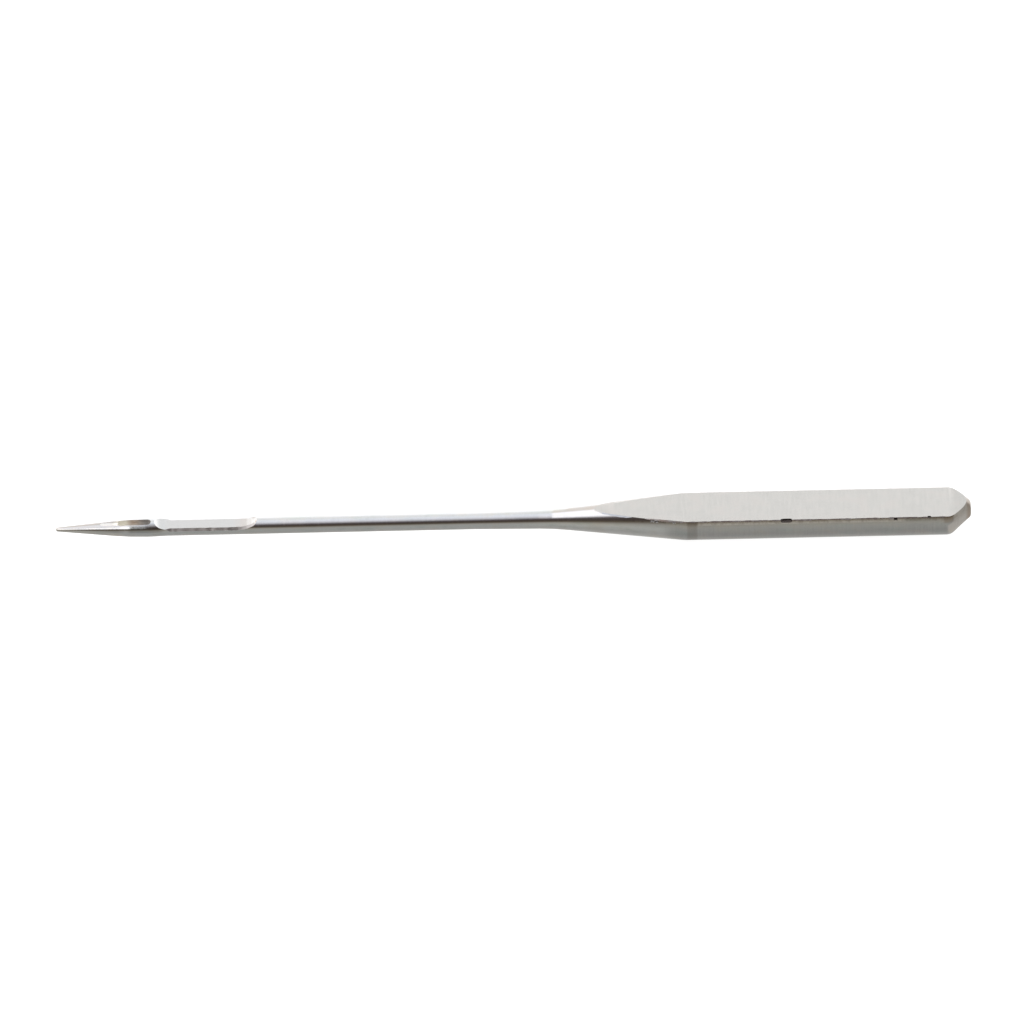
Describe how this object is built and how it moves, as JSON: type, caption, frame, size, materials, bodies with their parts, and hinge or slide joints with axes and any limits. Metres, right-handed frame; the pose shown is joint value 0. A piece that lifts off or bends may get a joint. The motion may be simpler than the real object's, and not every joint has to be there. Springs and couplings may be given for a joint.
{
  "type": "sewing machine needle",
  "caption": "Flat-shank needle for a household sewing machine: chamfered butt, conical shoulder, slim blade with scarf and thread grooves, slotted eye and sharp point.",
  "frame": {"origin": "centre of the butt face, on the needle's axis, where the needle stops in its clamp", "axes": "+X along the axis from the point to the butt, +Z out of the shank flat and the scarf, so the long groove faces -Z"},
  "size_m": [0.0385, 0.002, 0.0016],
  "materials": {
    "steel": "bright plated steel with fine grinding marks across the shank flat"
  },
  "bodies": {
    "root": {"needle": "steel"}
  },
  "joints": []
}
